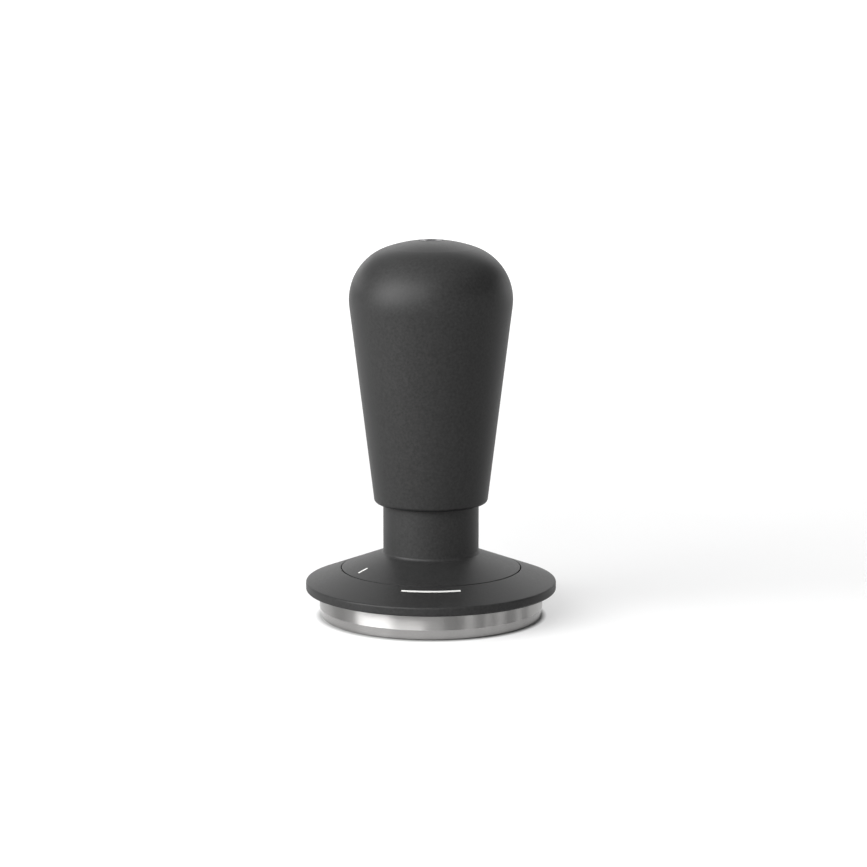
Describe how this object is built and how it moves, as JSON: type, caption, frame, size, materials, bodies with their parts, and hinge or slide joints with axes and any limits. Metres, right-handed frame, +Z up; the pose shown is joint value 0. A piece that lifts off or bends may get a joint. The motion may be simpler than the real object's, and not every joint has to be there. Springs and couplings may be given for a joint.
{
  "type": "espresso tamper",
  "caption": "Espresso tamper with a calibrated strike: a tapered black grip slides on a neck above a conical flange that sets the depth of a steel tamping disc.",
  "frame": {"origin": "centre of the tamping face, on the tool's axis", "axes": "+Z up the axis to the crown of the grip; -Y is the front, where the flange's long mark lies at rest"},
  "size_m": [0.0656, 0.0656, 0.0988],
  "materials": {
    "black_anodised": "satin black anodised, fine bead blast",
    "polished_steel": "turned and polished stainless steel",
    "clear_anodised": "clear anodised, as turned",
    "hardened_steel": "hardened and ground",
    "blackened_steel": "black oxide, satin",
    "spring_steel": "drawn spring wire",
    "acetal": "turned acetal",
    "black_rubber": "moulded nitrile rubber",
    "bronze": "bearing bronze",
    "white_paint": "filled enamel paint"
  },
  "bodies": {
    "housing": {"neck_housing": "black_anodised", "anvil": "hardened_steel", "trip_pin": "hardened_steel", "pin_spring": "spring_steel", "guide_pins": "hardened_steel", "neck_clip": "spring_steel", "bump_stop": "black_rubber", "flange_wire": "spring_steel", "click_spring": "spring_steel", "click_rivets": "bronze", "index_tick": "white_paint"},
    "grip": {"grip_shell": "black_anodised", "guide_bush": "acetal", "neck_wiper": "black_rubber", "bush_clip": "spring_steel", "anti_turn_key": "hardened_steel", "trip_sleeve": "hardened_steel", "sleeve_clip": "spring_steel", "seat_pins": "hardened_steel", "thrust_washer": "bronze", "return_spring": "spring_steel"},
    "adjuster": {"adjuster_screw": "blackened_steel"},
    "seat": {"spring_seat": "hardened_steel"},
    "striker": {"hammer": "hardened_steel", "main_spring": "spring_steel"},
    "flange": {"flange_ring": "black_anodised", "flange_mark": "white_paint", "stop_pin": "hardened_steel"},
    "base": {"base_disc": "polished_steel", "base_hub": "clear_anodised", "hub_screws": "blackened_steel"}
  },
  "joints": [
    {"name": "grip_press", "type": "slide", "parent": "housing", "child": "grip", "axis": [0, 0, -1], "range_m": [0, 0.009], "stiffness_N_per_m": 160, "springref_m": -0.031, "deforming": ["return_spring"]},
    {"name": "striker_lift", "type": "slide", "parent": "grip", "child": "striker", "axis": [0, 0, 1], "range_m": [0, 0.009], "stiffness_N_per_m": 10000, "springref_m": -0.003, "deforming": ["main_spring"]},
    {"name": "adjuster_turn", "type": "hinge", "parent": "grip", "child": "adjuster", "pos_m": [0, 0, 0.09], "axis": [0, 0, -1], "range_deg": [0, 1296]},
    {"name": "seat_travel", "type": "slide", "parent": "grip", "child": "seat", "axis": [0, 0, -1], "range_m": [0, 0.0045]},
    {"name": "flange_turn", "type": "hinge", "parent": "housing", "child": "flange", "pos_m": [0, 0, 0.0095], "axis": [0, 0, 1], "range_deg": [-60, 120], "deforming": ["click_spring"]},
    {"name": "base_depth", "type": "slide", "parent": "housing", "child": "base", "axis": [0, 0, -1], "range_m": [-0.001, 0.002]}
  ],
  "couplings": [
    {"joint": "adjuster_turn", "follows": "seat_travel", "rad_per_m": 5026.5},
    {"joint": "base_depth", "follows": "flange_turn", "m_per_rad": 0.00095493}
  ]
}
